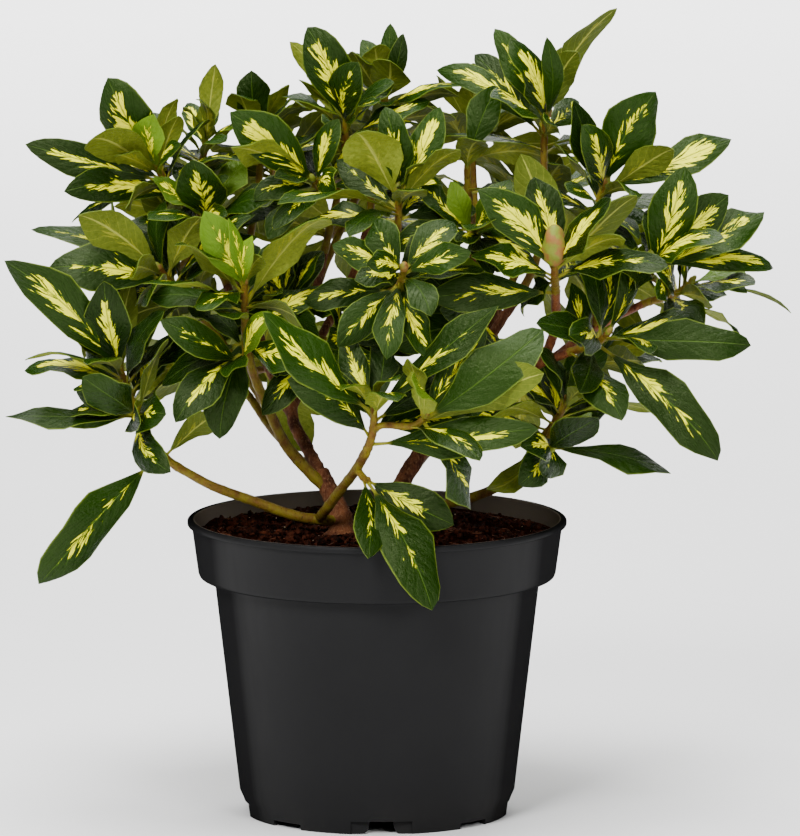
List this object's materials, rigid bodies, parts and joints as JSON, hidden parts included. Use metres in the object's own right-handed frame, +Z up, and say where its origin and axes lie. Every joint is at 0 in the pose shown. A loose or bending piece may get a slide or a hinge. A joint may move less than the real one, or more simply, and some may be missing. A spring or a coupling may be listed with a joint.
{
  "type": "potted rhododendron",
  "caption": "Young evergreen rhododendron with yellow-splashed leaves in whorls on branching stems, standing in a black plastic nursery pot filled with potting mix.",
  "frame": {"origin": "middle of the pot's flat underside, on the pot's axis", "axes": "+Z up along the pot's axis, -Y towards the viewer of the picture, +X to that viewer's right"},
  "size_m": [0.4741, 0.366, 0.4879],
  "materials": {
    "black_plastic": "satin",
    "potting_mix": "matte",
    "old_bark": "matte",
    "green_bark": "satin",
    "red_bark": "satin",
    "leaf_green": "gloss"
  },
  "bodies": {
    "root": {"bough_back_left": "old_bark", "bough_back_low_left": "green_bark", "bough_back_low_right": "green_bark", "bough_back_middle": "old_bark", "bough_back_right": "old_bark", "bough_front": "green_bark", "bough_front_left": "green_bark", "bough_left": "green_bark", "bough_low_left": "green_bark", "bough_low_right": "green_bark", "bough_middle": "green_bark", "bough_right": "red_bark", "bough_right_middle": "red_bark", "bough_right_outer": "red_bark", "bough_right_upright": "red_bark", "bough_upper_left": "old_bark", "bough_upper_middle": "old_bark", "foliage_back_left": "leaf_green", "foliage_back_low_left": "leaf_green", "foliage_back_low_right": "leaf_green", "foliage_back_middle": "leaf_green", "foliage_back_right": "leaf_green", "foliage_back_top_right": "leaf_green", "foliage_front": "leaf_green", "foliage_front_left": "leaf_green", "foliage_inner_left": "leaf_green", "foliage_inner_right": "leaf_green", "foliage_left": "leaf_green", "foliage_left_middle": "leaf_green", "foliage_low_left": "leaf_green", "foliage_low_right": "leaf_green", "foliage_middle": "leaf_green", "foliage_middle_front": "leaf_green", "foliage_over_rim": "leaf_green", "foliage_right": "leaf_green", "foliage_right_front": "leaf_green", "foliage_right_low": "leaf_green", "foliage_right_middle": "leaf_green", "foliage_top": "leaf_green", "foliage_top_back": "leaf_green", "foliage_top_right": "leaf_green", "foliage_upper_left": "leaf_green", "foliage_upper_left_back": "leaf_green", "foliage_upper_right": "leaf_green", "pot": "black_plastic", "potting_mix": "potting_mix", "stem_right": "old_bark", "trunk_left": "old_bark"}
  },
  "joints": []
}
